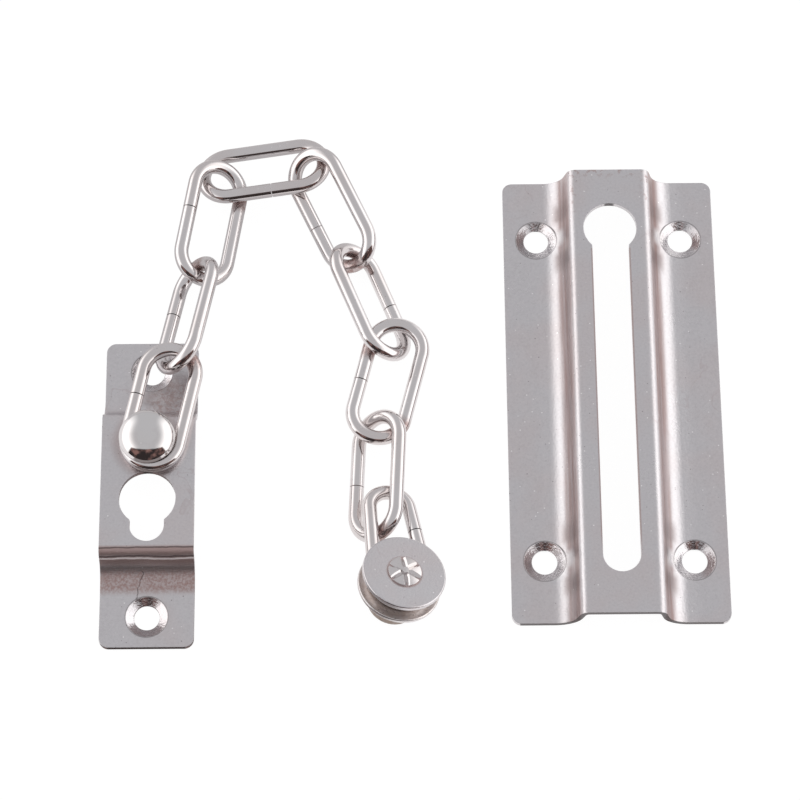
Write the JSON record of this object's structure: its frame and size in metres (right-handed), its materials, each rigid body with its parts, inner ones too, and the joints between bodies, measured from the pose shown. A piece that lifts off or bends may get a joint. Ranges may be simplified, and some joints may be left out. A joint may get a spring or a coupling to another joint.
{
  "type": "door chain",
  "caption": "Nickel-plated door chain: oval wire links from a riveted anchor plate to a grooved button that slides in a keyhole-slotted keeper plate.",
  "frame": {"origin": "centre of the anchor plate's screw pattern, at its back face on the ground", "axes": "+Z out of the plates' fronts, +X from the anchor plate to the keeper plate, +Y along both plates towards the keeper's entry hole"},
  "size_m": [0.1295, 0.1132, 0.0161],
  "materials": {
    "nickel_sheet": "satin nickel plate on pressed steel, finely scratched",
    "nickel_bright": "bright nickel plate on steel wire and turned steel"
  },
  "bodies": {
    "plates": {"keeper_plate": "nickel_sheet", "anchor_plate": "nickel_sheet", "anchor_rivet": "nickel_bright"},
    "link_1": {"chain_link_1": "nickel_bright"},
    "link_2": {"chain_link_2": "nickel_bright"},
    "link_3": {"chain_link_3": "nickel_bright"},
    "link_4": {"chain_link_4": "nickel_bright"},
    "link_5": {"chain_link_5": "nickel_bright"},
    "link_6": {"chain_link_6": "nickel_bright"},
    "link_7": {"chain_link_7": "nickel_bright"},
    "link_8": {"chain_link_8": "nickel_bright"},
    "shackle": {"end_shackle": "nickel_bright"},
    "button": {"button_stud": "nickel_bright", "button_disc": "nickel_bright"}
  },
  "joints": [
    {"name": "link_1_swing", "type": "hinge", "parent": "plates", "child": "link_1", "pos_m": [0, 0.0087, 0], "axis": [0, 0, 1], "range_deg": [-50, 140]},
    {"name": "link_2_swing", "type": "hinge", "parent": "link_1", "child": "link_2", "pos_m": [0.00871, 0.02666, 0.0088], "axis": [-0.5614, 0.8275, 0], "range_deg": [-105, 0]},
    {"name": "link_3_swing", "type": "hinge", "parent": "link_2", "child": "link_3", "pos_m": [0.00993, 0.0502, 0.00497], "axis": [0.6568, 0.0492, 0.7525], "range_deg": [-125, 140]},
    {"name": "link_4_swing", "type": "hinge", "parent": "link_3", "child": "link_4", "pos_m": [0.01816, 0.06617, 0.00296], "axis": [0.1736, 0.9847, 0.0175], "range_deg": [-100, 0]},
    {"name": "link_5_swing", "type": "hinge", "parent": "link_4", "child": "link_5", "pos_m": [0.0363, 0.07333, 0.00743], "axis": [0.0988, -0.971, 0.2178], "range_deg": [0, 70]},
    {"name": "link_6_swing", "type": "hinge", "parent": "link_5", "child": "link_6", "pos_m": [0.0429, 0.05029, 0.00431], "axis": [0.8026, 0.0742, 0.5919], "range_deg": [-125, 135]},
    {"name": "link_7_swing", "type": "hinge", "parent": "link_6", "child": "link_7", "pos_m": [0.0459, 0.03038, 0.00531], "axis": [0.2487, 0.9685, -0.014], "range_deg": [-100, 0]},
    {"name": "link_8_swing", "type": "hinge", "parent": "link_7", "child": "link_8", "pos_m": [0.05188, 0.01211, 0.00466], "axis": [-0.6686, -0.7419, 0.0516], "range_deg": [0, 85]},
    {"name": "shackle_swing", "type": "hinge", "parent": "link_8", "child": "shackle", "pos_m": [0.04828, -0.01096, 0.00627], "axis": [-0.7319, -0.3161, -0.6037], "range_deg": [0, 130]},
    {"name": "button_spin", "type": "hinge", "parent": "shackle", "child": "button", "pos_m": [0.05217, -0.02283, 0.0104], "axis": [0.231, 0.2486, 0.9407], "continuous": true}
  ]
}
